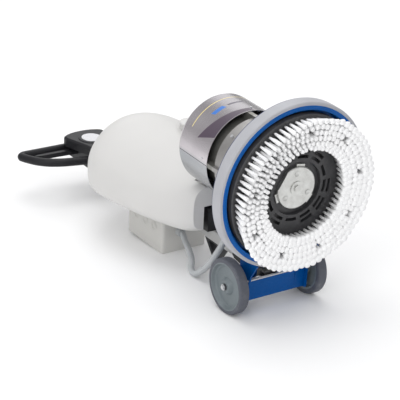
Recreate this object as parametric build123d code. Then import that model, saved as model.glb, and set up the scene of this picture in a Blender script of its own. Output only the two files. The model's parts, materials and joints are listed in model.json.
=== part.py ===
from build123d import *
import os
from math import sin, cos, tan, pi, radians, degrees, sqrt, acos, atan2, hypot

# Single-disc floor machine, shown laid back on its wheels and its electrical box,
# with the brush facing forward.  Millimetres, +Z up, floor at Z = 0,
# +X forward (the way the brush faces), handle towards -X.

# ---------------------------------------------------------------- driving sizes
OX = 532.162           # moves the axle frame so that the base centre is the origin
DECK_DOWN = 5.0        # how far the brush face looks below the horizontal (deg)
DECK_H = 360.9         # height of the disc axis at the lip plane
POLE_UP = 3.0          # rise of the pole towards the handle (deg)
AXLE_X, AXLE_Z = -99.9, 76.2   # wheel axle, before the origin shift

# deck (frame: z from brush to motor, x up in the laid-back pose)
R_LIP, R_WALL, H_DECK, T_TOP = 218.5, 206.0, 33.0, 4.0
R_BUMP, Z_BUMP = 227.5, 37.5
R_BASE, R_GBOX, Z_GCYL, Z_GTOP = 150.0, 118.0, 92.0, 178.0
R_GCAV, T_GBOX, R_LUG = 88.0, 14.0, 125.8
R_MOT, Z_MOT0, Z_MOT1 = 106.0, 190.0, 322.0
R_COV, T_COV, Z_COV0, Z_COV1 = 127.2, 1.4, 213.0, 352.0
R_BORE_ST, R_ST, Z_ST0, Z_ST1 = 53.0, 86.0, 210.0, 290.0
R_SHAFT, R_SUNSEAT = 12.5, 7.0
R_MBRG = 26.0
RUN = 0.05             # running clearance on shafts
RUN_WHEEL = 0.09       # running clearance of the wheel bushes on the axle

# planetary gear set
MOD, PA = 1.5, 25.0
Z_SUN, Z_PLANET, Z_RING = 15, 45, 105
C_DIST = MOD * (Z_SUN + Z_PLANET) / 2
Z_GEAR0, GEAR_W = 92.0, 26.0
R_PIN = 8.0

# brush
R_OUT, R_OBRG = 20.0, 40.0
Z_FACE, Z_BACK, R_BLOCK = -10.0, 14.0, 199.0
R_TUFT_IN, R_TUFT_OUT, R_TIP_IN, R_TIP_OUT, Z_TIP = 119.0, 193.5, 114.0, 217.0, -52.0
R_PLATE, PLATE_FLAT = 58.0, 52.0

# wheels
R_TYRE, R_RIM, W_TYRE, Y_WHEEL = 76.2, 65.0, 27.8, 139.9
R_AXLE = 6.0

# pole, box, tank and handle (frame: origin on the axle, x forward along the pole)
POLE_W, POLE_Z0, POLE_Z1, POLE_T = 30.0, -1.0, 33.0, 2.5
POLE_X0, POLE_X1 = -40.0, -990.0
BOX_X0, BOX_X1, BOX_W, BOX_Z0, BOX_Z1 = -409.0, -602.0, 149.0, -97.79, -3.0
BOX_T, LID_H = 4.0, 18.0
TANK_T = 4.5
Z_PART, PART_GAP = 126.0, 0.06                   # level of the tank's parting line above the axle, width of the joint line
NECK_X, NECK_Y, NECK_Z0, NECK_Z1, NECK_R, NECK_BORE, CAP_R = -560.0, 105.0, 150.0, 220.0, 30.0, 25.0, 33.0
CON_W = 80.0
GRIP_X, GRIP_Z, GRIP_R = -1023.0, 8.0, 13.0
CON_Z0, CON_ZS, CON_Z1 = -25.0, 24.0, 53.0
COND_R = 9.0

DECK = Location((OX, 0, DECK_H), (0, -(90 - DECK_DOWN), 0))
HAND = Location((OX + AXLE_X, 0, AXLE_Z), (0, POLE_UP, 0))

NODES = {}


def put(name, shape, frame):
    NODES[name] = frame * shape if frame is not None else shape


def ring(pts):
    """solid of revolution about local Z from an r,z outline"""
    w = Polyline(*[(r, 0, z) for r, z in pts], close=True)
    return revolve(make_face(w), Axis.Z)


def tube(r0, r1, z0, z1):
    return ring([(r0, z0), (r1, z0), (r1, z1), (r0, z1)])


def rod(r, z0, z1):
    return Pos(0, 0, (z0 + z1) / 2) * Cylinder(r, z1 - z0)


def block(x0, x1, y0, y1, z0, z1):
    return Pos((x0 + x1) / 2, (y0 + y1) / 2, (z0 + z1) / 2) * Box(abs(x1 - x0), abs(y1 - y0), abs(z1 - z0))


def plate_xz(pts, y0, y1):
    """flat plate with an x,z outline, between two y values"""
    f = make_face(Polyline(*[(x, y0, z) for x, z in pts], close=True))
    return extrude(f, amount=abs(y1 - y0), dir=(0, 1 if y1 > y0 else -1, 0))


def yrod(r, x, z, y0, y1):
    return Pos(x, (y0 + y1) / 2, z) * Rot(90, 0, 0) * Cylinder(r, abs(y1 - y0))


def inv(a):
    return tan(a) - a


def tooth_angle(r, z, thin):
    rp, a0 = MOD * z / 2, radians(PA)
    rb = rp * cos(a0)
    a = acos(min(1.0, rb / r)) if r > rb else 0.0
    return pi / (2 * z) + thin / rp + inv(a0) - inv(a)


def gear_outline(z, r_in, r_out, thin, phase):
    pts = []
    h_in, h_out = tooth_angle(r_in, z, thin), tooth_angle(r_out, z, thin)
    for i in range(z):
        c = phase + 2 * pi * i / z
        for r, h in ((r_in, -h_in), (r_out, -h_out), (r_out, h_out), (r_in, h_in)):
            pts.append((r * cos(c + h), r * sin(c + h)))
    return make_face(Polyline(*pts, close=True))


# ---------------------------------------------------------------- deck
deck = ring([(62, H_DECK - T_TOP), (R_WALL - 3, H_DECK - T_TOP), (R_WALL - 1, 25), (R_WALL, 1.5), (R_WALL + 1.5, 0), (R_LIP - 1.5, 0), (R_LIP, 1.5),
             (R_LIP, H_DECK), (62, H_DECK)])
put("deck_housing", deck, DECK)

bump = ring([(R_LIP, 1), (R_BUMP - 3.5, 1), (R_BUMP - 1.1, 2), (R_BUMP, 4.4), (R_BUMP, Z_BUMP - 3), (R_BUMP - 0.9, Z_BUMP - 0.9), (R_BUMP - 3, Z_BUMP),
             (R_LIP, Z_BUMP)])
put("bumper_ring", bump, DECK)

gbox = ring([(R_OBRG, H_DECK), (104, H_DECK), (104, 66), (108, 70), (116, 70), (138, H_DECK), (R_BASE, H_DECK),
             (R_BASE, 40), (147, 43), (122, 84), (R_GBOX, Z_GCYL), (R_GBOX, Z_GTOP), (R_GBOX - T_GBOX, Z_GTOP),
             (R_GBOX - T_GBOX, Z_GEAR0 + GEAR_W + 2), (R_GCAV, Z_GEAR0 + GEAR_W + 2), (R_GCAV, 50), (R_OBRG, 50)])
LUGS = [88.0 - 90 * k for k in range(4)]       # lug directions round the axis (deg)
for a in LUGS:
    gbox += Rot(0, 0, a) * block(R_GBOX - 4, R_LUG, -6, 6, 160, Z_GTOP)
put("gearbox_housing", gbox, DECK)

ring_g = rod(R_GCAV, Z_GEAR0 - 2, Z_GEAR0 + GEAR_W + 2) - extrude(
    Pos(0, 0, Z_GEAR0 - 4) * gear_outline(Z_RING, MOD * Z_RING / 2 - 0.75 * MOD, MOD * Z_RING / 2 + 1.25 * MOD, 0.14, 0.0),
    amount=GEAR_W + 8)
put("ring_gear", ring_g, DECK)


flange = tube(R_MBRG, R_GBOX, Z_GTOP, Z_MOT0)
for a in LUGS:
    flange += Rot(0, 0, a) * block(R_GBOX - 4, R_LUG, -6, 6, Z_GTOP, Z_MOT0)
put("motor_flange", flange, DECK)

frame = tube(R_ST, R_MOT, Z_MOT0, Z_MOT1)
for a in LUGS:
    frame += Rot(0, 0, a) * block(R_MOT - 4, R_COV - T_COV + 0.5, -6, 6, Z_MOT0, 252)
frame -= tube(R_COV - T_COV, R_COV + 12, Z_MOT0 - 5, 330)
frame -= rod(R_ST, Z_MOT0 - 5, 330)
put("motor_frame", frame, DECK)

put("stator_core", tube(R_BORE_ST, R_ST, Z_ST0, Z_ST1), DECK)
coil = tube(57, 82, 194, Z_ST0)
coil = chamfer(coil.edges().filter_by(GeomType.CIRCLE).group_by(Axis.Z)[0], 4)
coil2 = tube(57, 82, Z_ST1, 306)
coil2 = chamfer(coil2.edges().filter_by(GeomType.CIRCLE).group_by(Axis.Z)[-1], 4)
put("stator_windings", Compound(children=[coil, coil2]), DECK)
put("end_bell", tube(R_MBRG, R_MOT, Z_MOT1, 332), DECK)
put("bearings", Compound(children=[tube(R_OUT + RUN, R_OBRG, H_DECK, 50), tube(R_SHAFT + RUN, R_MBRG, Z_GTOP, Z_MOT0), tube(R_SHAFT + RUN, R_MBRG, Z_MOT1, 332)]), DECK)

# sheet cover in two halves, split just below the mid height of the laid-back pose
cover = ring([(R_COV - T_COV, Z_COV0), (R_COV, Z_COV0), (R_COV, Z_COV1 - 9), (R_COV - 2.6, Z_COV1 - 2.6), (R_COV - 9, Z_COV1),
              (24, Z_COV1), (24, Z_COV1 - T_COV), (R_COV - 9.6, Z_COV1 - T_COV), (R_COV - 3.6, Z_COV1 - 3.6),
              (R_COV - T_COV, Z_COV1 - 9.6)])
for k in range(18):
    cover -= Rot(0, 0, 20 * k + 10) * Pos(70, 0, Z_COV1) * Box(44, 6, 12)
split = block(-6.0, 300, -300, 300, 100, 500)
put("motor_cover_upper", cover & split, DECK)
put("motor_cover_lower", cover - block(-6.2, 300, -300, 300, 100, 500), DECK)


def radial(a, r, z, h, rad):
    return Rot(0, 0, a) * Pos(r, 0, z) * Rot(0, 90, 0) * Cylinder(rad, h, align=(Align.CENTER, Align.CENTER, Align.MIN))


COV_SCREWS = [(-87.2, 238.5), (7.2, 233.8), (87.2, 238.5), (172.8, 233.8)]
put("motor_screws", Compound(children=[radial(a, R_COV + 0.03, z, 1.8, 3.2) for a, z in COV_SCREWS]
                             + [radial(-43.8 + 60 * k, R_GBOX + 0.04, 171, 4.5, 4.5) for k in range(6)]), DECK)

# wheel chassis: foot plate, end cheeks that carry the axle, gussets up to the deck and a tie plate
AX, AZ = -292.3, 74.7          # axle in the deck frame
CH_Y, CH_T, GUS_Y, GUS_T = 108.0, 4.0, 73.5, 5.0
cheek_pts = [(-340, 47), (-337, 44), (-284, 44), (-270, 58), (-270, 88), (-278, 96), (-330, 96), (-340, 86)]
gus_pts = [(-150, H_DECK), (-197, H_DECK), (-198, Z_BUMP + 1), (-217, Z_BUMP + 1), (-226, 24), (-267, 48), (-300, 54), (-340, 55), (-340, 62), (-312, 98),
           (-232, 98), (-150, 60)]
chassis = block(-340, -284.5, -CH_Y, CH_Y, 55, 59)
for s in (-1, 1):
    chassis += plate_xz(cheek_pts, s * (CH_Y - CH_T), s * CH_Y)
    chassis += plate_xz(gus_pts, s * GUS_Y, s * (GUS_Y + GUS_T))
chassis += block(-250, -214, -GUS_Y, GUS_Y, 94, 98)
chassis += block(-336, -250, -CH_Y + CH_T, CH_Y - CH_T, 90, 94) - block(-350, -254, -27, 27, 80, 110)
chassis += block(-250, -240, -GUS_Y, GUS_Y, 90, 94)
chassis += block(-190, -160, -GUS_Y, GUS_Y, H_DECK, 38)
chassis -= yrod(R_AXLE, AX, AZ, -120, 120)
chassis -= yrod(3.0, -281.0, 56.0, -CH_Y + CH_T, CH_Y - CH_T)
put("chassis", chassis, DECK)
put("foot_bar", yrod(3.0, -281.0, 56.0, -CH_Y + CH_T, CH_Y - CH_T), DECK)
axle = yrod(R_AXLE, AX, AZ, -144, 144)
caps = []
for s in (-1, 1):
    caps.append(yrod(8.5, AX, AZ, s * 144, s * 145.2) + yrod(5.8, AX, AZ, s * 145.2, s * 148.0))
put("axle", axle + caps[0] + caps[1], DECK)

# ---------------------------------------------------------------- brush drive
carrier = rod(64, 74, 88) + rod(R_OUT, 1, 74) + rod(30, 50.5, 74)
carrier -= rod(16, 80, 90)
pin_pos = [(C_DIST * cos(radians(120 * k)), C_DIST * sin(radians(120 * k))) for k in range(3)]
for x, y in pin_pos:
    carrier += Pos(x, y, 0) * rod(R_PIN, 80, Z_GEAR0 + GEAR_W + 2)
put("carrier", carrier, DECK)

plate = ring([(6, -9), (R_PLATE - 2, -9), (R_PLATE, -7), (R_PLATE, 1), (6, 1)])
plate -= Rot(0, 0, -60) * block(PLATE_FLAT, 80, -60, 60, -12, 4)
for k in range(3):
    plate += Rot(0, 0, 10 + 120 * k) * block(40, R_PLATE + 5.5, -13, 13, -4, 1)
    plate -= Rot(0, 0, -4 + 120 * k) * Pos(40, 0, -24) * Sphere(17)
put("drive_plate", plate, DECK)
bolt = rod(6, -9, 1) + rod(19, -11.5, -9) + Pos(0, 0, -15) * extrude(RegularPolygon(10, 6), amount=3.5)
put("plate_bolt", bolt, DECK)

blk = ring([(34, 1), (74, 1), (74, Z_FACE), (R_BLOCK - 2, Z_FACE), (R_BLOCK, Z_FACE + 2), (R_BLOCK, Z_BACK - 3), (R_BLOCK - 3, Z_BACK),
            (80, Z_BACK), (76, 10), (34, 10)])
for k in range(12):
    for r_mid, ang in ((86.8, 22.0), (101.5, 21.0)):
        if r_mid > 95 and k % 4 == 2:
            continue
        am = radians(6.7 + 30 * k)
        a0, a1 = am - radians(ang / 2), am + radians(ang / 2)
        ri, ro = r_mid - 4.3, r_mid + 4.3
        w = [ThreePointArc((ri * cos(a0), ri * sin(a0)), (ri * cos(am), ri * sin(am)), (ri * cos(a1), ri * sin(a1))),
             Line((ri * cos(a1), ri * sin(a1)), (ro * cos(a1), ro * sin(a1))),
             ThreePointArc((ro * cos(a1), ro * sin(a1)), (ro * cos(am), ro * sin(am)), (ro * cos(a0), ro * sin(a0))),
             Line((ro * cos(a0), ro * sin(a0)), (ri * cos(a0), ri * sin(a0)))]
        blk -= extrude(Pos(0, 0, -12) * make_face(Wire(w)), amount=14)
put("brush_block", blk, DECK)
put("bristles", ring([(R_TUFT_IN, Z_FACE), (R_TIP_IN, Z_TIP), (R_TIP_OUT, Z_TIP), (R_TUFT_OUT, Z_FACE)]), DECK)

# planets
for k, (x, y) in enumerate(pin_pos):
    g = extrude(Pos(0, 0, Z_GEAR0) * gear_outline(Z_PLANET, MOD * Z_PLANET / 2 - 1.25 * MOD, MOD * Z_PLANET / 2 + 0.85 * MOD, -0.10, 0.0), amount=GEAR_W)
    g -= rod(R_PIN + RUN, Z_GEAR0 - 2, Z_GEAR0 + GEAR_W + 2)
    put("planet_gear_%d" % (k + 1), Pos(x, y, 0) * g, DECK)

# rotor
shaft = rod(R_SUNSEAT, Z_GEAR0 - 4, 134) + rod(R_SHAFT, 134, 346)
put("motor_shaft", shaft, DECK)
sun = extrude(Pos(0, 0, Z_GEAR0 - 1) * gear_outline(Z_SUN, MOD * Z_SUN / 2 - 1.25 * MOD, MOD * Z_SUN / 2 + 0.85 * MOD, -0.10, 0.0), amount=GEAR_W + 2)
sun -= rod(R_SUNSEAT, Z_GEAR0 - 4, Z_GEAR0 + GEAR_W + 6)
put("sun_gear", sun, DECK)
put("rotor_core", tube(R_SHAFT, R_BORE_ST - 0.6, Z_ST0 + 2, Z_ST1 - 2), DECK)
fan = tube(R_SHAFT, 22, 333, 346) + tube(R_SHAFT, 86, 333, 335.5)
for k in range(9):
    fan += Rot(0, 0, 40 * k) * Pos(53, 0, 340) * Rot(0, 0, 12) * Box(64, 2.5, 11)
fan = fan - rod(R_SHAFT, 320, 350)
put("cooling_fan", fan, DECK)

# ---------------------------------------------------------------- wheels
for nm, s in (("near", -1), ("far", 1)):
    h = W_TYRE / 2
    yc = s * (Y_WHEEL - h)
    place = Pos(AX, yc, AZ) * Rot(-90 * s, 0, 0)     # local z points outwards
    tyre = ring([(R_RIM - 2, -h), (R_TYRE - 4, -h), (R_TYRE - 1.2, -h + 1.6), (R_TYRE, -h + 5), (R_TYRE, h - 5), (R_TYRE - 1.2, h - 1.6),
                 (R_TYRE - 4, h), (R_RIM, h), (R_RIM, h - 3), (R_RIM - 2, h - 3)])
    rim = ring([(9, -h), (20, -h), (22, -2), (54, -2), (57, -h + 1), (R_RIM - 2, -h), (R_RIM - 2, h - 3), (R_RIM, h - 3), (R_RIM, h - 0.4),
                (R_RIM - 3, h - 0.4), (R_RIM - 7, h - 8), (R_RIM - 12, h - 12), (24, h - 11), (19, h - 4), (16, h - 1), (9, h - 1)])
    put("tyre_" + nm, place * tyre, DECK)
    put("rim_" + nm, place * rim, DECK)
    put("bush_" + nm, place * tube(R_AXLE + RUN_WHEEL, 9, -h, h + 2), DECK)

# ---------------------------------------------------------------- handle: hinge, pole
HB_Y0, HB_T, HB_R = 15.0, 5.0, 14.5
hb = [(HB_R * cos(radians(a)), HB_R * sin(radians(a))) for a in range(-80, 81, 16)] + [(-30, 20), (-60, 29), (-132, 29), (-140, 22), (-140, 6), (-132, -1), (-60, -12), (-30, -14)]
bracket = plate_xz(hb, HB_Y0, HB_Y0 + HB_T) + plate_xz(hb, -HB_Y0 - HB_T, -HB_Y0)
bracket += yrod(13, 0, 0, -HB_Y0, HB_Y0)
bracket -= yrod(9, 0, 0, -40, 40)
put("hinge_bracket", bracket, HAND)
put("pivot_bush", yrod(9, 0, 0, -24, 24) - yrod(R_AXLE + RUN, 0, 0, -40, 40), HAND)
hook = plate_xz([(-288, POLE_Z0), (-248, -48), (-226, -48), (-192, POLE_Z0)], -12, 12)
hook -= plate_xz([(-268, -7), (-244, -38), (-231, -38), (-212, -7)], -20, 20)
put("cord_hook", hook, HAND)
pole = block(POLE_X1, POLE_X0, -POLE_W / 2, POLE_W / 2, POLE_Z0, POLE_Z1)
pole = fillet(pole.edges().filter_by(Axis.X), 4)
hole = block(POLE_X1 - 5, POLE_X0 + 5, -POLE_W / 2 + POLE_T, POLE_W / 2 - POLE_T, POLE_Z0 + POLE_T, POLE_Z1 - POLE_T)
put("pole", pole - hole, HAND)

# ---------------------------------------------------------------- electrical box under the pole
by = BOX_W / 2
box = block(BOX_X1, BOX_X0, -by, by, BOX_Z0 + LID_H, BOX_Z1)
box = fillet(box.edges().filter_by(Axis.Z), 10)
box = box - fillet(block(BOX_X1 + BOX_T, BOX_X0 - BOX_T, -by + BOX_T, by - BOX_T, BOX_Z0 + LID_H - 5, BOX_Z1 - BOX_T).edges().filter_by(Axis.Z), 6)
KO = [(-456.0, -25.0), (-504.0, -25.0), (-552.0, -25.0)]
for x, z in KO:
    for s in (-1, 1):
        for r in (13.0, 8.5):
            box -= yrod(r + 0.7, x, z, s * (by - 0.8), s * (by + 1)) - yrod(r - 0.7, x, z, s * (by - 2), s * (by + 2))
GL_Y, GL_Z = -19.0, -36.0
box -= Pos(BOX_X0, GL_Y, GL_Z) * Rot(0, 90, 0) * Cylinder(10, 30)
MAINS_Z = -52.0
box -= Pos(BOX_X1, 0, MAINS_Z) * Rot(0, 90, 0) * Cylinder(8, 30)
put("box_body", box, HAND)
lid = block(BOX_X1, BOX_X0, -by, by, BOX_Z0, BOX_Z0 + LID_H)
lid = fillet(lid.edges().filter_by(Axis.Z), 10)
lid = chamfer(lid.faces().sort_by(Axis.Z)[0].edges(), 1.0)
lid -= block(BOX_X1 + BOX_T, BOX_X0 - BOX_T, -by + BOX_T, by - BOX_T, BOX_Z0 + BOX_T, BOX_Z0 + LID_H + 5)
scr = [(x, y) for x in (BOX_X1 + 14, BOX_X0 - 14) for y in (-by + 14, by - 14)]
for x, y in scr:
    lid += Pos(x, y, 0) * rod(6, BOX_Z0 + 2, BOX_Z0 + LID_H)
    lid -= Pos(x, y, 0) * rod(4.5, BOX_Z0 - 2, BOX_Z0 + 2.5)
put("box_lid", lid, HAND)
put("box_screws", Compound(children=[Pos(x, y, 0) * rod(4.2, BOX_Z0 + 0.5, BOX_Z0 + 2.5) for x, y in scr]), HAND)
gland = Pos(BOX_X0, GL_Y, GL_Z) * Rot(0, 90, 0) * (tube(COND_R - 2.0, 10, -8, 0) + tube(COND_R - 2.0, 13, 0, 5) + tube(COND_R + 0.3, 12, 5, 16))
mgl = Pos(BOX_X1, 0, MAINS_Z) * Rot(0, -90, 0) * (tube(5, 8, -6, 0) + tube(5, 11, 0, 14))
put("box_glands", Compound(children=[gland, mgl]), HAND)
put("capacitor", Pos(0, 34, -38) * Rot(0, 90, 0) * Pos(0, 0, -520) * Cylinder(22, 110), HAND)
put("terminal_block", block(-560, -470, -58, -20, BOX_Z1 - BOX_T - 26, BOX_Z1 - BOX_T), HAND)

# ---------------------------------------------------------------- tank
TX0, TX1 = -235.0, -798.0
T_W = ((0, 98), (.2, 145), (.45, 176), (.72, 188), (1, 158))
T_T = ((0, 183), (.2, 189.5), (.45, 203), (.66, 218.5), (.85, 231.5), (1, 216))
ZB0, ZB1, END, EX, EN, SH, EM = 34.0, -6.0, .29, 2.0, 2.89, .15, 1.8


def lerp(tab, t):
    # cubic Hermite through the table, with finite-difference slopes
    n = len(tab)
    sl = []
    for i in range(n):
        a, b = tab[max(i - 1, 0)], tab[min(i + 1, n - 1)]
        sl.append((b[1] - a[1]) / (b[0] - a[0]))
    for i in range(n - 1):
        (x0, y0), (x1, y1) = tab[i], tab[i + 1]
        if t <= x1:
            h = x1 - x0
            u = (t - x0) / h
            return ((2 * u**3 - 3 * u**2 + 1) * y0 + (u**3 - 2 * u**2 + u) * h * sl[i]
                    + (-2 * u**3 + 3 * u**2) * y1 + (u**3 - u**2) * h * sl[i + 1])
    return tab[-1][1]


def tank_section(t, inset=0.0, n=28):
    nose = max(0.0, 1 - t / .09) ** 2                 # rounding of the front end
    w, zt, zb = lerp(T_W, t) - 9 * nose, lerp(T_T, t) - 6 * nose, ZB0 + (ZB1 - ZB0) * t + 13 * nose
    tr = min(max((t - (1 - END)) / END, 0), 1)
    sc, scw = (1 - tr**EN) ** (1 / EN), (1 - tr**EM) ** (1 / EM)
    zc = zb + (zt - zb) * .45
    pts = []
    for i in range(n):
        a = 2 * pi * (i + 0.5) / n
        c, s = cos(a), sin(a)
        e = EX + 1.3 * max(0.0, 1 - t / .35) if s > 0 else 4.5 - t
        y = w * scw * (abs(c) ** (2 / e)) * (1 if c > 0 else -1)
        z = (zb + zt) / 2 + (zt - zb) / 2 * (abs(s) ** (2 / e)) * (1 if s > 0 else -1)
        z = zc + (z - zc) * sc
        d = hypot(y, z - zc)
        k = 1 - inset / d
        y, z = y * k, zc + (z - zc) * k
        x = TX0 + (TX1 - TX0) * t + SH * (z - zb) * t * t
        pts.append((x, y, z))
    return make_face(Wire([Spline(*pts, periodic=True)]))


outer = loft([tank_section(t) for t in (0, .025, .055, .12, .28, .45, .62, .75, .85, .92, .965, .99)])
inner = loft([tank_section(t, TANK_T * 1.15) for t in (.012, .035, .06, .12, .28, .45, .62, .75, .85, .92, .965)])
motor_room = DECK * rod(R_COV + 9, 150, Z_COV1 + 9)
motor_room_in = DECK * rod(R_COV + 9 + TANK_T, 150, Z_COV1 + 9 + TANK_T)
to_hand = HAND.inverse()
notch = block(-340, -200, -55, 55, -30, 117)
chan = block(-860, -200, -17, 17, -40, 36)
notch_in = block(-340 - TANK_T, -200, -55 - TANK_T, 55 + TANK_T, -30, 117 + TANK_T)
chan_in = block(-860, -200, -17 - TANK_T, 17 + TANK_T, -40, 36 + TANK_T)
neck = Pos(NECK_X, NECK_Y, 0) * rod(NECK_R, NECK_Z0, NECK_Z1)
bore = Pos(NECK_X, NECK_Y, 0) * rod(NECK_BORE, NECK_Z0 - 20, NECK_Z1 + 30)
tank = outer - notch - chan - (to_hand * motor_room)
cavity = inner - notch_in - chan_in - (to_hand * motor_room_in)
tank = (tank + neck) - cavity - bore
# two ears beside the neck carry the pin of the cap
CAP_PY, CAP_PZ = NECK_Y + 42.0, NECK_Z1 + 1.5
for s in (-1, 1):
    ear = block(NECK_X + s * 11, NECK_X + s * 19, NECK_Y + 20, CAP_PY + 7, NECK_Z1 - 18, CAP_PZ + 6)
    tank += ear - bore - (Pos(NECK_X, NECK_Y, 0) * rod(CAP_R + 2.6, NECK_Z1 - 3, NECK_Z1 + 20))
tank -= Pos(NECK_X, CAP_PY, CAP_PZ) * Rot(0, 90, 0) * Cylinder(3.0, 60)
tank -= block(NECK_X - 10.6, NECK_X + 10.6, CAP_PY - 8, CAP_PY + 8, CAP_PZ - 5.8, CAP_PZ + 10)
tank = tank.solids().sort_by(SortBy.VOLUME)[-1]
# four moulded shells, joined along the parting lines
for side, y0, y1 in (("near", -300, -PART_GAP / 2), ("far", PART_GAP / 2, 300)):
    for level, z0, z1 in (("lower", -60, Z_PART - PART_GAP / 2), ("upper", Z_PART + PART_GAP / 2, 400)):
        shell = tank & block(-900, -100, y0, y1, z0, z1)
        put("tank_" + level + "_" + side, shell.solids().sort_by(SortBy.VOLUME)[-1], HAND)

# solution valve in the notch of the tank, on top of the pole
valve = block(-322, -244, -34, 34, POLE_Z1, 100)
valve = chamfer(valve.edges().filter_by(Axis.Y).group_by(Axis.Z)[-1], 9)
put("valve_block", valve, HAND)

cap_pin = Pos(NECK_X, CAP_PY, CAP_PZ) * Rot(0, 90, 0) * Cylinder(3.0, 38)

# filler cap
cap = Pos(NECK_X, NECK_Y, 0) * (rod(CAP_R, NECK_Z1 + 0.3, NECK_Z1 + 7) + rod(NECK_BORE - 1.7, NECK_Z1 - 7, NECK_Z1 + 0.3))
cap = chamfer(cap.faces().sort_by(Axis.Z)[-1].edges(), 2)
cap += block(NECK_X - 10, NECK_X + 10, NECK_Y + CAP_R - 4, CAP_PY, NECK_Z1 + 0.8, NECK_Z1 + 6)
cap += Pos(NECK_X, CAP_PY, CAP_PZ) * Rot(0, 90, 0) * Cylinder(5.0, 20)
cap -= Pos(NECK_X, CAP_PY, CAP_PZ) * Rot(0, 90, 0) * Cylinder(3.0 + RUN, 40)
put("filler_cap", cap, HAND)

# ---------------------------------------------------------------- handle console
hw = CON_W / 2


def plan(pts, z0, z1):
    return extrude(make_face(Polyline(*[(x, y, z0) for x, y in pts], close=True)), amount=z1 - z0, dir=(0, 0, 1))


def both_sides(half):
    """close an x,y outline that runs from the rear middle to the front, mirrored over y = 0"""
    return half + [(x, -y) for x, y in reversed(half) if abs(y) > 1e-6]


up_half = [(-1032, 0), (-1031, 18), (-1027.5, 37), (-1021, 54), (-1015, 64), (-1006, 70), (-992, 70), (-960, 60), (-915, 46), (-870, 36), (-850, 32)]
up = plan(both_sides(up_half), CON_ZS, CON_Z1)
up = chamfer(up.faces().sort_by(Axis.Z)[-1].edges(), 5)
in_half = [(-1026, 0), (-1025, 17), (-1022, 35), (-1016, 51), (-1010, 60), (-1003, 64), (-993, 64), (-962, 55), (-917, 41), (-873, 31), (-856, 27)]
up -= plan(both_sides(in_half), CON_ZS - 5, CON_Z1 - 6)
dome = Pos(-955, 0, CON_Z1 - 0.5) * extrude(Ellipse(44, 42), amount=3.0, taper=45)
up = up + dome
BTN_Z = 35.5
up -= Pos(-1030, 0, BTN_Z) * Rot(0, 90, 0) * Cylinder(8.2, 30)
up -= block(-880, -830, -POLE_W / 2, POLE_W / 2, POLE_Z0, POLE_Z1)
put("console_upper", up, HAND)
put("interlock_button", Pos(-1030, 0, BTN_Z) * Rot(0, -90, 0) * (rod(8.0, -6, 8) + rod(10.5, -8, -6)), HAND)
put("badge", Pos(-955, 0, CON_Z1 + 2.5) * extrude(Ellipse(33, 31), amount=1.2), HAND)

low_half = [(-1034, 0), (-1034, hw - 6), (-1028, hw), (-905, hw), (-870, 34), (-850, 30)]
lowi_half = [(-1004, 0), (-1004, hw - 5), (-906, hw - 5), (-872, 29), (-856, 26)]
low = plan(both_sides(low_half), CON_Z0, CON_ZS)
low = chamfer(low.faces().sort_by(Axis.Z)[0].edges(), 4)


def corner_path(pts, share=0.45):
    """edges of a polyline whose corners are rounded by tangent arcs"""
    edges, last = [], Vector(*pts[0])
    for i in range(1, len(pts) - 1):
        a, b, c = Vector(*pts[i - 1]), Vector(*pts[i]), Vector(*pts[i + 1])
        u, v = (a - b), (c - b)
        lu, lv = u.length, v.length
        u, v = u.normalized(), v.normalized()
        t = share * min(lu, lv)
        p, q = b + u * t, b + v * t
        half = acos(max(-1.0, min(1.0, u.dot(v)))) / 2          # half the angle between the runs
        bis = (u + v).normalized()
        r = t * tan(half)
        m = b + bis * (r / sin(half) - r)
        edges.append(Line(last, p))
        edges.append(ThreePointArc(p, m, q))
        last = q
    edges.append(Line(last, Vector(*pts[-1])))
    return Wire(edges)


def grip(s):
    pts = [(GRIP_X, 0), (GRIP_X, 204), (-1014, 215), (-992, 205), (-960, 187), (-935, 160), (-917, 122), (-904, 70), (-896, 30)]
    path = corner_path([(x, s * y, GRIP_Z) for x, y in pts], 0.42)
    prof = Plane(origin=(GRIP_X, 0, GRIP_Z), z_dir=(0, s, 0)) * Circle(GRIP_R)
    return sweep(prof, path=path)


low = low + grip(-1) + grip(1)
low -= plan(both_sides(lowi_half), CON_Z0 + 5, CON_ZS + 5)
low -= block(-880, -830, -POLE_W / 2, POLE_W / 2, POLE_Z0, POLE_Z1)
low -= block(-985, -870, -POLE_W / 2, POLE_W / 2, CON_Z0 + 5, CON_ZS + 5)
for s in (-1, 1):
    low -= block(-1000.5, -972, s * (hw - 10), s * (hw + 4), GRIP_Z - 8.5, GRIP_Z + 8.5)
put("console_lower", low, HAND)
put("switch_block", block(-1002, -992, -14, 14, CON_Z0 + 5, GRIP_Z + 12), HAND)

# switch levers: a blade in front of each grip bar, hinged inside the console
LEV_X, LEV_Y = -983.0, 28.0
for nm, s in (("near", -1), ("far", 1)):
    f = make_face(Polyline(*[(x, s * y, GRIP_Z - 7) for x, y in [(-990, LEV_Y), (-990, 60), (-992, 110), (-993, 165), (-990, 178), (-983, 180), (-980, 165), (-979, 110), (-976, 60), (-976, LEV_Y)]], close=True))
    lev = extrude(f, amount=14, dir=(0, 0, 1)) + Pos(LEV_X, s * LEV_Y, GRIP_Z) * Cylinder(7, 14)
    lev -= Pos(LEV_X, s * LEV_Y, GRIP_Z) * Cylinder(3.0 + RUN, 30)
    put("lever_" + nm, lev, HAND)
put("hinge_pins", Compound(children=[Pos(LEV_X, s * LEV_Y, 0) * rod(3.0, CON_Z0 + 5, CON_ZS + 12) for s in (-1, 1)] + [cap_pin]), HAND)

# ---------------------------------------------------------------- conduit
GL_A, GL_ZL = 205.0, 150.0      # motor gland: direction round the axis (deg) and distance along it
put("motor_gland", Rot(0, 0, GL_A) * Pos(R_GBOX, 0, GL_ZL) * Rot(0, 90, 0) * (rod(16, 0.05, 6) + rod(13, 6, 24) - rod(COND_R + 0.35, 8, 30)), DECK)


def world(frame, p):
    v = (frame * Pos(*p)).position
    return (v.X, v.Y, v.Z)


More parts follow.
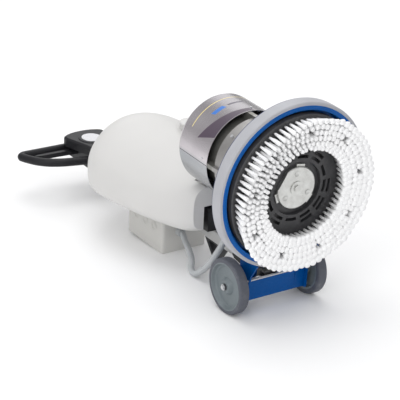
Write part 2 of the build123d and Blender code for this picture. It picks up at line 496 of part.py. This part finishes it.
g0, g1 = world(HAND, (BOX_X0 + 6, GL_Y, GL_Z)), world(HAND, (BOX_X0 + 22, GL_Y, GL_Z))
m_in = [world(DECK, (r * cos(radians(GL_A)), r * sin(radians(GL_A)), GL_ZL)) for r in (R_GBOX + 9, R_GBOX + 42)]
MID = [(-464.0, -29.0, 50.5), (-420.0, -43.0, 42.0), (-377.0, -60.0, 31.0), (-358.0, -78.0, 12.5), (-326.0, -83.0, 10.0), (-272.0, -78.5, 55.0),
       (-251.0, -71.0, 89.5), (-228.0, -65.0, 127.0), (-194.0, -65.0, 182.0)]
route = [g0, g1] + [(x + OX, y, z) for x, y, z in MID] + [m_in[1], m_in[0]]
cond_path = corner_path(route, 0.45)
d0 = (Vector(*route[1]) - Vector(*route[0])).normalized()
put("conduit", sweep(Plane(origin=route[0], z_dir=d0) * Circle(COND_R), path=cond_path), None)
print("conduit length", round(cond_path.length, 1))


def write():
    os.makedirs("parts", exist_ok=True)
    for name, shape in NODES.items():
        export_step(shape, "parts/%s.step" % name)


def bounds(names):
    lo, hi = [1e9] * 3, [-1e9] * 3
    for n in names:
        b = NODES[n].bounding_box()
        for i, (a, c) in enumerate(zip(b.min, b.max)):
            lo[i], hi[i] = min(lo[i], a), max(hi[i], c)
    return lo, hi


lo, hi = bounds([n for n in NODES if n != "conduit"])
print("box", [round(v, 2) for v in lo], [round(v, 2) for v in hi], "mid x", round((lo[0] + hi[0]) / 2, 3))
write()
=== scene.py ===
import json
from math import cos, sin, pi, radians, hypot

import bpy
import numpy as np
from mathutils import Matrix, Vector


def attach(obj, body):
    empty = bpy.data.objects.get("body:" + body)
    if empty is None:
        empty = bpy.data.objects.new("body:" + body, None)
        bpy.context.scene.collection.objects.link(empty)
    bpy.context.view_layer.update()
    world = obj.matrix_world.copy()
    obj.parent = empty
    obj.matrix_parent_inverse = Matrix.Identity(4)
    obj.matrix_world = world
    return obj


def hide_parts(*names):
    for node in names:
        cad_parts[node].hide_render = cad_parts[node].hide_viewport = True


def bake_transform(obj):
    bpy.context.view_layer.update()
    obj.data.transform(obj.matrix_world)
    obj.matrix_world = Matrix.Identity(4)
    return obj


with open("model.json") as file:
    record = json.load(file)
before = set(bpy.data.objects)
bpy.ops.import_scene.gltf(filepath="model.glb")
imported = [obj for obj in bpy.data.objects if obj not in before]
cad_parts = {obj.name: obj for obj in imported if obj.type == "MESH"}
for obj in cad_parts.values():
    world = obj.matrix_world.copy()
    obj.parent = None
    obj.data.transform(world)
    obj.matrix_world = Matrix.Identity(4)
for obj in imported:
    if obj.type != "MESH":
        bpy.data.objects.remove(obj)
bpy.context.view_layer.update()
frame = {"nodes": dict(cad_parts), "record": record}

N = frame["nodes"]
scene = bpy.context.scene
rng = np.random.default_rng(11)

# ------------------------------------------------------------------ frames of the object, in metres
OX, HZ = 0.532162, 0.3609                      # brush axis at the lip plane
AX, AZ = OX - 0.0999, 0.0762                   # wheel axle
CL, SL = cos(radians(85)), sin(radians(85))
CG, SG = cos(radians(3)), sin(radians(3))


def deck(p):
    """millimetres in the deck's frame (z from brush to motor, x up) to metres in the row frame"""
    p = np.asarray(p, float) / 1000
    return np.stack([OX + CL * p[..., 0] - SL * p[..., 2], p[..., 1], HZ + SL * p[..., 0] + CL * p[..., 2]], -1)


def hand(p):
    """millimetres in the handle's frame (x forward along the pole, z across it) to metres in the row frame"""
    p = np.asarray(p, float) / 1000
    return np.stack([AX + CG * p[..., 0] + SG * p[..., 2], p[..., 1], AZ - SG * p[..., 0] + CG * p[..., 2]], -1)


# ------------------------------------------------------------------ camera
cam = bpy.data.cameras.new("camera")
cam.lens, cam.sensor_width, cam.sensor_fit = 134.956, 36.0, "HORIZONTAL"
cam.clip_end = 50
cam_o = bpy.data.objects.new("camera", cam)
right, up, back = Vector((0.5473, 0.8368, 0.0139)), Vector((-0.3124, 0.1888, 0.9310)), Vector((0.7764, -0.5139, 0.3648))
rot = Matrix((right, up, back)).transposed().to_4x4()
cam_o.matrix_world = Matrix.Translation((3.359862, -2.1582, 1.7112)) @ rot
scene.collection.objects.link(cam_o)
scene.camera = cam_o


# ------------------------------------------------------------------ mesh helpers
def new_mesh(name, verts, faces, smooth=True):
    me = bpy.data.meshes.new(name)
    me.from_pydata([tuple(v) for v in verts], [], [tuple(f) for f in faces])
    me.validate()
    me.update()
    if smooth:
        me.polygons.foreach_set("use_smooth", [True] * len(me.polygons))
    o = bpy.data.objects.new(name, me)
    scene.collection.objects.link(o)
    return o


def spline_points(name, pts, res):
    """points along the smooth line through a route's control points"""
    cu = bpy.data.curves.new(name, "CURVE")
    cu.dimensions = "3D"
    sp = cu.splines.new("NURBS")
    sp.points.add(len(pts) - 1)
    for q, p in zip(sp.points, pts):
        q.co = (*p, 1)
    sp.order_u = 3
    sp.use_endpoint_u = True
    cu.resolution_u = res
    o = bpy.data.objects.new(name, cu)
    scene.collection.objects.link(o)
    bpy.context.view_layer.update()
    me = bpy.data.meshes.new_from_object(o)
    line = np.array([v.co for v in me.vertices], float)
    bpy.data.objects.remove(o)
    bpy.data.meshes.remove(me)
    return line


def along(line, s):
    """points at arc lengths s on a polyline"""
    d = np.concatenate([[0], np.cumsum(np.linalg.norm(np.diff(line, axis=0), axis=1))])
    return np.stack([np.interp(s, d, line[:, k]) for k in range(3)], -1), d[-1]


def sweep(name, path, radii, seg):
    """closed tube along points, with a radius at each"""
    n = len(path)
    t = np.gradient(path, axis=0)
    t /= np.linalg.norm(t, axis=1)[:, None]
    u = np.cross(t[0], (0, 1, 0))
    u /= np.linalg.norm(u)
    verts = []
    for i in range(n):
        u = u - t[i] * (u @ t[i])
        u /= np.linalg.norm(u)
        w = np.cross(t[i], u)
        for k in range(seg):
            a = 2 * pi * k / seg
            verts.append(path[i] + radii[i] * (cos(a) * u + sin(a) * w))
    faces = []
    for i in range(n - 1):
        for k in range(seg):
            a, b = i * seg + k, i * seg + (k + 1) % seg
            faces.append((a, b, b + seg, a + seg))
    faces.append(tuple(reversed(range(seg))))
    faces.append(tuple(range((n - 1) * seg, n * seg)))
    return new_mesh(name, verts, faces)


# ------------------------------------------------------------------ material helpers
def links(nt):
    return lambda a, b: nt.links.new(a, b)


def start(name):
    m = bpy.data.materials.new(name)
    m.use_nodes = True
    nt = m.node_tree
    b = nt.nodes["Principled BSDF"]
    tc = nt.nodes.new("ShaderNodeTexCoord")
    return m, nt, b, tc.outputs["Object"], links(nt)


def noise(nt, vec, scale, detail=3.0, rough=0.5):
    n = nt.nodes.new("ShaderNodeTexNoise")
    n.inputs["Scale"].default_value = scale
    n.inputs["Detail"].default_value = detail
    n.inputs["Roughness"].default_value = rough
    nt.links.new(vec, n.inputs["Vector"])
    return n.outputs["Fac"]


def ramp(nt, fac, stops):
    r = nt.nodes.new("ShaderNodeValToRGB")
    e = r.color_ramp.elements
    while len(e) < len(stops):
        e.new(0.5)
    for k, (p, c) in enumerate(stops):
        e[k].position = p
        e[k].color = (*c, 1) if len(c) == 3 else c
    nt.links.new(fac, r.inputs["Fac"])
    return r.outputs["Color"]


def span(nt, fac, lo, hi, a=0.3, b=0.7):
    r = nt.nodes.new("ShaderNodeMapRange")
    for k, v in (("From Min", a), ("From Max", b), ("To Min", lo), ("To Max", hi)):
        r.inputs[k].default_value = v
    nt.links.new(fac, r.inputs["Value"])
    return r.outputs["Result"]


def math(nt, op, a, b=None, c=None):
    n = nt.nodes.new("ShaderNodeMath")
    n.operation = op
    for k, v in enumerate((a, b, c)):
        if v is None:
            continue
        if isinstance(v, (int, float)):
            n.inputs[k].default_value = v
        else:
            nt.links.new(v, n.inputs[k])
    return n.outputs[0]


def mixc(nt, fac, a, b):
    n = nt.nodes.new("ShaderNodeMix")
    n.data_type = "RGBA"
    nt.links.new(fac, n.inputs[0])
    for sock, v in ((n.inputs[6], a), (n.inputs[7], b)):
        if isinstance(v, tuple):
            sock.default_value = (*v, 1)
        else:
            nt.links.new(v, sock)
    return n.outputs[2]


def bump(nt, b, height, strength, dist):
    n = nt.nodes.new("ShaderNodeBump")
    n.inputs["Strength"].default_value = strength
    n.inputs["Distance"].default_value = dist
    nt.links.new(height, n.inputs["Height"])
    nt.links.new(n.outputs["Normal"], b.inputs["Normal"])


def lin(*rgb):
    """display tones 0-255 to linear"""
    return tuple((v / 255 / 12.92) if v <= 10 else ((v / 255 + 0.055) / 1.055) ** 2.4 for v in rgb)


def tone(c, k):
    return tuple(min(1.0, v * k) for v in c)


def plain(name, c, rough, metal=0.0, var=0.06, vscale=9.0, rvar=0.07, grain=350.0, bstr=0.15, bdist=0.0003, spec=0.5, coat=0.0, dust=0.0):
    """even finish with slow tone changes, a fine surface grain and changing gloss"""
    m, nt, b, vec, ln = start(name)
    slow = noise(nt, vec, vscale, 4)
    col = ramp(nt, slow, [(0.3, tone(c, 1 - var)), (0.7, tone(c, 1 + var))])
    if dust:
        d = span(nt, noise(nt, vec, 45, 6, 0.7), 0.0, dust, 0.5, 0.75)
        col = mixc(nt, d, col, (0.55, 0.54, 0.52))
    ln(col, b.inputs["Base Color"])
    fine = noise(nt, vec, grain, 2)
    ln(span(nt, fine, max(0.02, rough - rvar), min(1, rough + rvar)), b.inputs["Roughness"])
    if bstr:
        bump(nt, b, fine, bstr, bdist)
    b.inputs["Metallic"].default_value = metal
    b.inputs["Specular IOR Level"].default_value = spec
    if coat:
        b.inputs["Coat Weight"].default_value = coat
        b.inputs["Coat Roughness"].default_value = 0.08
    return m


def deck_axes(nt, vec):
    """x, y, z of the deck's frame and the angle and radius about its axis"""
    sub = nt.nodes.new("ShaderNodeVectorMath")
    sub.operation = "SUBTRACT"
    sub.inputs[1].default_value = (OX, 0, HZ)
    nt.links.new(vec, sub.inputs[0])

    def dot(v):
        d = nt.nodes.new("ShaderNodeVectorMath")
        d.operation = "DOT_PRODUCT"
        d.inputs[1].default_value = v
        nt.links.new(sub.outputs[0], d.inputs[0])
        return d.outputs["Value"]

    x, y, z = dot((CL, 0, SL)), dot((0, 1, 0)), dot((-SL, 0, CL))
    ang = math(nt, "ARCTAN2", y, x)
    r = math(nt, "SQRT", math(nt, "ADD", math(nt, "MULTIPLY", x, x), math(nt, "MULTIPLY", y, y)))
    return x, y, z, ang, r


def combine(nt, a, b, c):
    n = nt.nodes.new("ShaderNodeCombineXYZ")
    for k, v in enumerate((a, b, c)):
        if isinstance(v, (int, float)):
            n.inputs[k].default_value = v
        else:
            nt.links.new(v, n.inputs[k])
    return n.outputs[0]


def between(nt, v, lo, hi, soft):
    """1 inside lo..hi, with soft edges"""
    a = span(nt, v, 0, 1, lo - soft, lo + soft)
    b = span(nt, v, 1, 0, hi - soft, hi + soft)
    return math(nt, "MULTIPLY", a, b)


# ------------------------------------------------------------------ conduit from the box to the gearbox
ROUTE = [(27.9, -19, 61.3), (43.9, -19, 60.5), (68.16, -29, 50.5), (112.16, -43, 42), (155.16, -60, 31), (174.16, -78, 12.5),
         (206.16, -83, 10), (260.16, -78.5, 55), (281.16, -71, 89.5), (304.16, -65, 127), (338.16, -65, 182), (370.1, -67.6, 229.5),
         (372.7, -53.7, 259.3)]
line = spline_points("route", [tuple(v / 1000 for v in p) for p in ROUTE], 24)
_, total = along(line, [0])
PITCH = 0.0031
n_ring = int(total / PITCH) * 4
ss = np.linspace(0, total, n_ring + 1)
path, _ = along(line, ss)
rad = 0.0085 + 0.00045 * np.cos(2 * pi * ss / PITCH)
conduit = sweep("conduit_ribbed", path, rad, 20)
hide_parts("conduit")
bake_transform(conduit)

# ------------------------------------------------------------------ brush: tufts of nylon strands in rings
Z_ROOT, Z_TIP = -10.0, -54.5
RINGS = [(129.0 + 11.6 * i, 120.6 + 17.8 * i + (6.5 if i == 0 else 0), n) for i, n in enumerate((57, 60, 66, 72, 72, 72))]
GAP_RING = 3                                   # in this ring every eighth tuft is missing
STR, SIDE, CORE = 18, 3, 10
V, F = [], []


def cone(rows, seg, tip_only=True):
    """closed stack of cross-sections: each row is a centre and two half-axes as vectors"""
    base = len(V)
    for c, u, w in rows:
        for k in range(seg):
            a = 2 * pi * k / seg
            V.append(c + cos(a) * u + sin(a) * w)
    for j in range(len(rows) - 1):
        for k in range(seg):
            a0, b0 = base + j * seg + k, base + j * seg + (k + 1) % seg
            F.append((a0, a0 + seg, b0 + seg, b0))
    F.append(tuple(base + (len(rows) - 1) * seg + k for k in range(seg))[::-1])
    F.append(tuple(base + k for k in range(seg)))


for i, (r0, r1, n) in enumerate(RINGS):
    for k in range(n):
        if i == GAP_RING and k % 8 == 0:
            continue
        a = 2 * pi * (k + (0 if i == GAP_RING else 0.5 * (i % 2))) / n + rng.normal(0, 0.25) / r0
        er, et = np.array([cos(a), sin(a), 0.0]), np.array([-sin(a), cos(a), 0.0])
        root = er * r0 + np.array([0, 0, Z_ROOT + 0.4])
        sway = rng.normal(0, 1.2) * er + rng.normal(0, 1.0) * et
        zt = Z_TIP + abs(rng.normal(0, 0.5))
        deg = (a * 180 / pi + 180) % 360 - 180
        w = (0.5 + 0.5 * cos(a + radians(48))) ** 2.6   # the bristles have taken a set: on one side they stand apart and lean in, towards the other they splay out
        rt = r1 + (r0 - 7.0 - r1) * w
        tip = er * rt + sway + np.array([0, 0, zt])
        hr, ht = 9.3 + (5.2 - 9.3) * w, pi * r1 / n * 1.08 + (4.6 - pi * r1 / n * 1.08) * w   # half width of the splayed tip, across and along the ring
        ex, fill = 1.15 - 0.55 * w + (0.6 * (1 - w) if i == 0 else 0), 1.16 - 0.26 * w
        off = ((deg + 20) % 40 - 20) * pi / 180 * r1
        if (r1 - RINGS[GAP_RING][1]) ** 2 + off ** 2 < 21.0 ** 2:
            hr, ht, fill = hr * 0.92, ht * 0.92, fill * 0.95   # tufts round a missing one stay slimmer

        def mid(t):
            b = 0.72 * t + 0.28 * t * t
            return np.array([root[0] + (tip[0] - root[0]) * b, root[1] + (tip[1] - root[1]) * b, root[2] + (tip[2] - root[2]) * t])

        rows = []
        for t, dome in ((0.0, 1), (0.12, 1), (0.3, 1), (0.6, 1), (0.85, 1), (0.925, 0.86), (0.965, 0.6)):
            g = dome * min(t / 0.85, 1) ** ex
            rows.append((mid(t), er * (2.2 + (fill * hr - 2.2) * g), et * (2.2 + (fill * ht - 2.2) * g)))
        cone(rows, CORE)
        for j in range(STR):
            ga = j * 2.39996 + rng.uniform(0, 0.5)
            gr = np.sqrt((j + 0.5) / STR)
            p0 = (cos(ga) * er + sin(ga) * et) * 2.8 * gr
            wild = rng.normal(0, 0.6) * er + rng.normal(0, 0.6) * et
            p1 = cos(ga) * gr * hr * er + sin(ga) * gr * ht * et + wild
            cut = 1 - 0.075 * gr ** 3 - abs(rng.normal(0, 0.012))
            rows = []
            for t, q in ((0.0, 0.6), (0.5 * cut, 1.0), (0.96 * cut, 1.4), (cut, 1.0)):
                c = mid(t) + p0 + (p1 - p0) * t ** ex
                rows.append((c, er * q, et * q))
            cone(rows, SIDE)
bristle = new_mesh("bristle_tufts", deck(np.array(V)), F)
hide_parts("bristles")
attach(bristle, "brush_drive")

# ------------------------------------------------------------------ materials
M = {}
M["blue_paint"] = plain("blue_paint", (0.0004, 0.090, 0.35), 0.30, var=0.10, vscale=12, rvar=0.06, grain=500, bstr=0.05, coat=0.10, spec=0.12, dust=0.008)
M["brush_black"] = plain("brush_black", lin(54, 54, 56), 0.42, var=0.12, vscale=20, grain=420, bstr=0.2, dust=0.05)
M["cast_alu"] = plain("cast_alu", lin(160, 158, 156), 0.42, metal=0.8, var=0.10, vscale=25, grain=300, bstr=0.35, bdist=0.0004)
M["frame_alu"] = plain("frame_alu", lin(134, 133, 128), 0.45, metal=0.7, var=0.12, vscale=28, grain=280, bstr=0.35, bdist=0.0004)
M["motor_iron"] = plain("motor_iron", lin(46, 48, 54), 0.45, var=0.15, vscale=30, grain=260, bstr=0.4, bdist=0.0004)
M["copper"] = plain("copper", (0.62, 0.30, 0.16), 0.35, metal=1.0, var=0.15, vscale=60, grain=900)
M["zinc"] = plain("zinc", lin(205, 206, 208), 0.28, metal=1.0, var=0.06, vscale=40, grain=600, bstr=0.1)
M["gear_steel"] = plain("gear_steel", lin(150, 150, 154), 0.30, metal=1.0, var=0.08, vscale=40, grain=500, bstr=0.15)
M["fan_plastic"] = plain("fan_plastic", lin(62, 62, 66), 0.5, var=0.08)
M["tyre_grey"] = plain("tyre_grey", lin(80, 83, 92), 0.58, var=0.10, vscale=16, grain=420, bstr=0.25, dust=0.10)
M["rim_grey"] = plain("rim_grey", lin(110, 119, 123), 0.45, var=0.07, vscale=14, grain=380, bstr=0.2, dust=0.06)
M["bracket_black"] = plain("bracket_black", lin(28, 28, 31), 0.45, var=0.12, grain=420, bstr=0.25)
M["pole_paint"] = plain("pole_paint", lin(172, 172, 171), 0.40, var=0.04, grain=380, bstr=0.10)
M["box_grey"] = plain("box_grey", lin(200, 199, 195), 0.55, var=0.03, vscale=7, grain=520, bstr=0.12)
M["gland_grey"] = plain("gland_grey", lin(182, 185, 187), 0.50, var=0.05, vscale=14, grain=420, bstr=0.10)
M["capacitor_alu"] = plain("capacitor_alu", lin(190, 190, 190), 0.35, metal=1.0)
M["tank_white"] = plain("tank_white", lin(209, 208, 206), 0.42, var=0.02, vscale=5, rvar=0.05, grain=160, bstr=0.05, bdist=0.0006, spec=0.4)
M["tank_white"].node_tree.nodes["Principled BSDF"].inputs["Subsurface Weight"].default_value = 0.15
M["tank_white"].node_tree.nodes["Principled BSDF"].inputs["Subsurface Radius"].default_value = (0.010, 0.010, 0.009)
M["console_black"] = plain("console_black", lin(24, 24, 28), 0.44, var=0.10, vscale=18, grain=600, bstr=0.30, bdist=0.0003, spec=0.3)
M["button_grey"] = plain("button_grey", lin(150, 152, 156), 0.3, var=0.04)
M["badge_white"] = plain("badge_white", lin(208, 208, 211), 0.25, var=0.02, bstr=0.03)
M["bristle_white"] = plain("bristle_white", (0.975, 0.975, 0.978), 0.5, var=0.008, vscale=40, grain=300, bstr=0.0)


def turned_steel():
    m, nt, b, vec, ln = start("plate_steel")
    x, y, z, ang, r = deck_axes(nt, vec)
    rings = noise(nt, combine(nt, math(nt, "MULTIPLY", r, 1.0), math(nt, "MULTIPLY", ang, 0.002), 0.0), 900, 3)
    cloud = noise(nt, vec, 60, 4)
    ln(ramp(nt, cloud, [(0.3, lin(196, 196, 193)), (0.7, lin(216, 217, 214))]), b.inputs["Base Color"])
    ln(span(nt, rings, 0.26, 0.40), b.inputs["Roughness"])
    bump(nt, b, rings, 0.12, 0.0002)
    b.inputs["Metallic"].default_value = 0.9
    return m


def cover_steel():
    """polished sheet with painted reflections, a darker bluish grey toward the bottom and a grey band toward the top,
    and a generic printed design: a slate sweep along the front edge, two plain bars and a thin yellow line
    """
    m, nt, b, vec, ln = start("cover_steel")
    x, y, z, ang, r = deck_axes(nt, vec)
    cloud = noise(nt, vec, 10, 3)
    base = ramp(nt, cloud, [(0.3, lin(196, 190, 194)), (0.7, lin(210, 205, 208))])
    # painted reflection: the lower part of the polished cover is painted a darker bluish grey
    painted_lower_reflection = ramp(nt, cloud, [(0.3, lin(158, 160, 164)), (0.7, lin(172, 174, 177))])
    base = mixc(nt, span(nt, x, 1, 0, -0.012, 0.004), base, painted_lower_reflection)
    # painted reflection: a darker grey band toward the top of the polished cover
    base = mixc(nt, span(nt, x, 0, 1, 0.045, 0.125), base, lin(146, 143, 146))
    edge = math(nt, "GREATER_THAN", r, 0.1266)
    turn = math(nt, "MAXIMUM", math(nt, "DIVIDE", math(nt, "SUBTRACT", radians(2), ang), radians(62)), 0.0)
    top = math(nt, "ADD", math(nt, "MULTIPLY", math(nt, "POWER", turn, 1.6), 0.036), 0.234)
    over = span(nt, math(nt, "SUBTRACT", top, z), 0, 1, -0.0006, 0.0006)
    lean = math(nt, "ADD", ang, math(nt, "MULTIPLY", math(nt, "SUBTRACT", z, 0.243), 3.0))
    panel = math(nt, "MULTIPLY", math(nt, "MULTIPLY", between(nt, lean, radians(-62), radians(2), 0.006), over), math(nt, "GREATER_THAN", z, 0.2155))
    line_y = math(nt, "MULTIPLY", between(nt, ang, radians(-60), radians(30), 0.006), between(nt, z, 0.3140, 0.3165, 0.0005))
    bar_b = math(nt, "MULTIPLY", between(nt, lean, radians(-28), radians(-11), 0.004), between(nt, z, 0.272, 0.286, 0.0006))
    bar_s = math(nt, "MULTIPLY", between(nt, lean, radians(-6), radians(16), 0.004), between(nt, z, 0.2755, 0.2825, 0.0006))
    seam = between(nt, x, -0.0075, -0.0055, 0.0003)
    inks = [math(nt, "MULTIPLY", k, edge) for k in (panel, line_y, bar_b, bar_s, seam)]
    ink = math(nt, "MAXIMUM", math(nt, "MAXIMUM", inks[0], inks[1]), math(nt, "MAXIMUM", inks[2], math(nt, "MAXIMUM", inks[3], inks[4])))
    col = base
    for k, c in zip(inks, (lin(78, 66, 80), lin(232, 212, 140), lin(46, 112, 196), lin(84, 78, 92), lin(70, 70, 74))):
        col = mixc(nt, k, col, c)
    ln(col, b.inputs["Base Color"])
    ln(math(nt, "SUBTRACT", 1.0, ink), b.inputs["Metallic"])
    fine = noise(nt, combine(nt, math(nt, "MULTIPLY", z, 40.0), math(nt, "MULTIPLY", ang, 1.2), 0.0), 30, 3)
    ln(math(nt, "ADD", span(nt, fine, 0.20, 0.28), math(nt, "MULTIPLY", ink, 0.12)), b.inputs["Roughness"])
    bump(nt, b, noise(nt, vec, 14, 2), 0.10, 0.0006)
    return m


def bumper():
    """grey rubber band with a painted shadow, a thin dark-blue line along its back edge where it meets the gearbox"""
    m, nt, b, vec, ln = start("bumper_rubber")
    x, y, z, ang, r = deck_axes(nt, vec)
    cloud = noise(nt, vec, 14, 4)
    col = ramp(nt, cloud, [(0.3, lin(166, 167, 172)), (0.7, lin(176, 177, 182))])
    col = mixc(nt, span(nt, noise(nt, vec, 45, 6, 0.7), 0, 0.06, 0.5, 0.75), col, (0.55, 0.54, 0.52))
    # painted shadow: a thin dark-blue line along the back edge of the bumper, where it meets the gearbox
    rear_shadow_line = math(nt, "MULTIPLY", span(nt, z, 0, 1, 0.0334, 0.0342), math(nt, "GREATER_THAN", r, 0.2235))
    col = mixc(nt, rear_shadow_line, col, lin(34, 50, 92))
    ln(col, b.inputs["Base Color"])
    fine = noise(nt, vec, 700, 2)
    ln(span(nt, fine, 0.46, 0.60), b.inputs["Roughness"])
    bump(nt, b, fine, 0.10, 0.0003)
    return m


M["bumper_rubber"] = bumper()
M["plate_steel"] = turned_steel()
M["cover_steel"] = cover_steel()

slot_of = {s["node"]: s["material_slot"] for s in frame["record"]["subparts"]}
for n, o in N.items():
    o.data.materials.clear()
    o.data.materials.append(M[slot_of[n]])
for o, s in ((conduit, "gland_grey"), (bristle, "bristle_white")):
    o.data.materials.append(M[s])

# ------------------------------------------------------------------ studio
floor = new_mesh("floor", [(-14, -14, 0), (14, -14, 0), (14, 14, 0), (-14, 14, 0)], [(0, 1, 2, 3)], smooth=False)
fm, fnt, fb, fvec, fln = start("floor")
fln(ramp(fnt, noise(fnt, fvec, 0.8, 2), [(0.3, (0.965, 0.965, 0.965)), (0.7, (0.975, 0.975, 0.975))]), fb.inputs["Base Color"])
fb.inputs["Roughness"].default_value = 0.8
fb.inputs["Specular IOR Level"].default_value = 0.1
floor.data.materials.append(fm)

world = bpy.data.worlds.new("studio")
scene.world = world
world.use_nodes = True
wn = world.node_tree
bg = wn.nodes["Background"]
tcw = wn.nodes.new("ShaderNodeTexCoord")
sep = wn.nodes.new("ShaderNodeSeparateXYZ")
wn.links.new(tcw.outputs["Generated"], sep.inputs[0])
wr = wn.nodes.new("ShaderNodeValToRGB")
for k, (p, v) in enumerate(((0.0, 0.85), (0.25, 0.62), (0.55, 0.95))):
    if k >= 2:
        wr.color_ramp.elements.new(p)
    wr.color_ramp.elements[k].position = p
    wr.color_ramp.elements[k].color = (v, v, v * 1.01, 1)
wn.links.new(sep.outputs["Z"], wr.inputs["Fac"])
wn.links.new(wr.outputs["Color"], bg.inputs["Color"])
bg.inputs["Strength"].default_value = 0.80


def softbox(name, loc, at, size, power):
    li = bpy.data.lights.new(name, "AREA")
    li.shape = "RECTANGLE"
    li.size, li.size_y = size
    li.energy = power
    o = bpy.data.objects.new(name, li)
    d = Vector(at) - Vector(loc)
    o.matrix_world = Matrix.Translation(loc) @ d.to_track_quat("-Z", "Y").to_matrix().to_4x4()
    scene.collection.objects.link(o)


softbox("key", (2.4, -2.6, 2.6), (0.1, 0, 0.25), (2.2, 2.2), 30)
softbox("top", (-0.2, -0.2, 3.2), (0, 0, 0.2), (2.6, 2.0), 30)
softbox("side", (1.3, -2.9, 0.9), (0.2, 0, 0.25), (1.4, 1.4), 9)
softbox("front", (3.0, -0.9, 1.3), (0.4, 0, 0.3), (1.2, 1.2), 2)
softbox("back", (-3.2, 2.2, 2.6), (-2.4, 1.6, 0), (3.0, 3.0), 34)

scene.view_settings.view_transform = "Standard"
scene.view_settings.look = "None"
